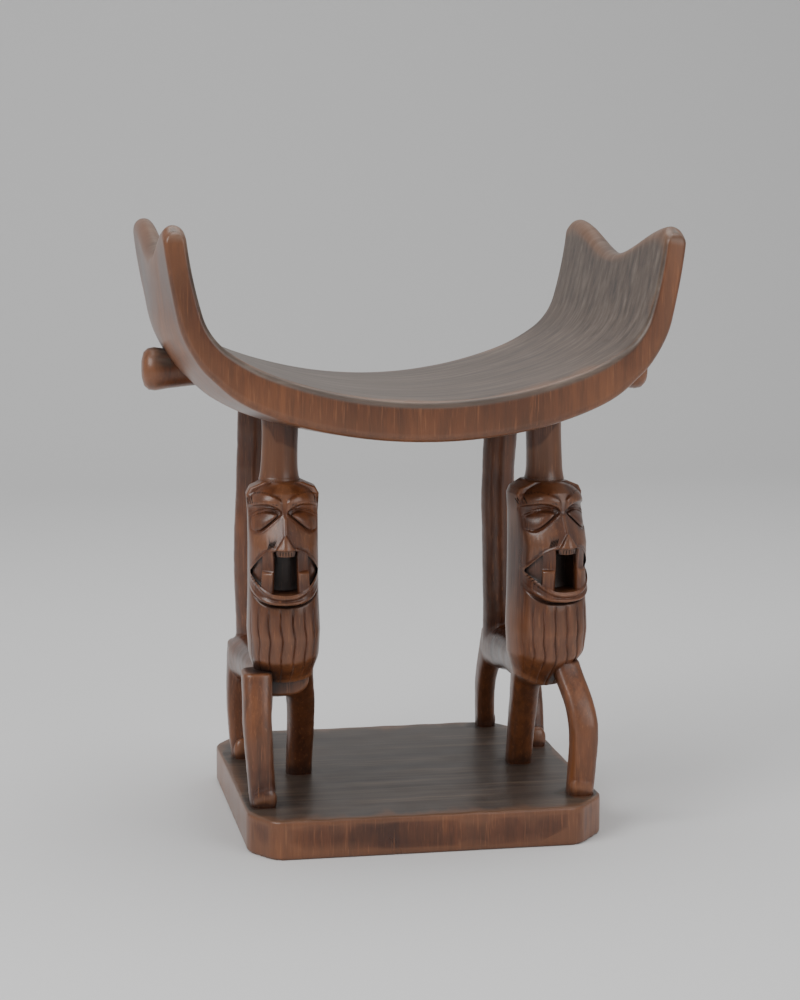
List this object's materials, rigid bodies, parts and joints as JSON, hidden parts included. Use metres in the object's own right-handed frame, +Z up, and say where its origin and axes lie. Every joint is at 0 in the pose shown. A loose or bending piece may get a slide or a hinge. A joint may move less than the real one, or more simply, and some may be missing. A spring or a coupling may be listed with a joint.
{
  "type": "carved stool",
  "caption": "One-piece carved wooden throne: a deep saddle seat with horned ends, carried by a pair of striding, roaring lions on a thick slab base.",
  "frame": {"origin": "on the floor, under the middle of the object", "axes": "+Z up; the lions face -Y; +X to the right as seen by someone facing the lions from the front"},
  "size_m": [0.497, 0.347, 0.5753],
  "materials": {
    "dark_wood": "worn oiled and varnished dark red-brown wood"
  },
  "bodies": {
    "root": {"throne": "dark_wood"}
  },
  "joints": []
}
